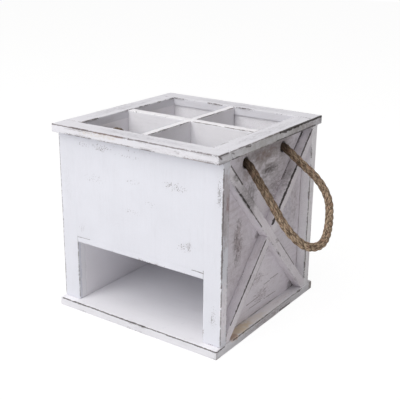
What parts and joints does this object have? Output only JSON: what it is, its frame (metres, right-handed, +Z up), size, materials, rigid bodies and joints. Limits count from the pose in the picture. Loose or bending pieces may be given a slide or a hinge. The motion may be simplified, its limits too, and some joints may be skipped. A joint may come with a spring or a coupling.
{
  "type": "cutlery and napkin box",
  "caption": "Tabletop wooden box with open cutlery compartments over a napkin bay that is open at the front, crossed braces in recessed sides, and swinging rope handles.",
  "frame": {"origin": "middle of the base board's underside", "axes": "+Z up, +X to the right as seen from the front, the open napkin bay faces -Y"},
  "size_m": [0.2993, 0.198, 0.2002],
  "materials": {
    "whitewashed_wood": "matte worn whitewash over softwood, edges rubbed to bare grey-brown wood",
    "jute_rope": "three-strand laid jute, matte and slightly hairy",
    "brad_steel": "dull bright wire"
  },
  "bodies": {
    "box": {"base_board": "whitewashed_wood", "front_stile_left": "whitewashed_wood", "front_stile_right": "whitewashed_wood", "front_panel": "whitewashed_wood", "back_panel": "whitewashed_wood", "left_panel": "whitewashed_wood", "right_panel": "whitewashed_wood", "right_brace_lower": "whitewashed_wood", "right_brace_long": "whitewashed_wood", "right_brace_upper": "whitewashed_wood", "left_brace_lower": "whitewashed_wood", "left_brace_long": "whitewashed_wood", "left_brace_upper": "whitewashed_wood", "compartment_floor": "whitewashed_wood", "long_divider": "whitewashed_wood", "cross_divider": "whitewashed_wood", "rim_front": "whitewashed_wood", "rim_back": "whitewashed_wood", "rim_right": "whitewashed_wood", "rim_left": "whitewashed_wood", "right_front_knot": "jute_rope", "right_back_knot": "jute_rope", "left_front_knot": "jute_rope", "left_back_knot": "jute_rope", "rim_brads": "brad_steel", "base_brads": "brad_steel", "stile_brads": "brad_steel", "back_brads": "brad_steel", "floor_brads": "brad_steel", "front_panel_brads": "brad_steel", "right_brace_brads": "brad_steel", "left_brace_brads": "brad_steel"},
    "right_handle": {"right_rope_loop": "jute_rope"},
    "left_handle": {"left_rope_loop": "jute_rope"}
  },
  "joints": [
    {"name": "right_handle_swing", "type": "hinge", "parent": "box", "child": "right_handle", "pos_m": [0.0935, 0, 0.1778], "axis": [0, -1, 0], "range_deg": [-20, 95]},
    {"name": "left_handle_swing", "type": "hinge", "parent": "box", "child": "left_handle", "pos_m": [-0.0935, 0, 0.1778], "axis": [0, 1, 0], "range_deg": [0, 114]}
  ]
}
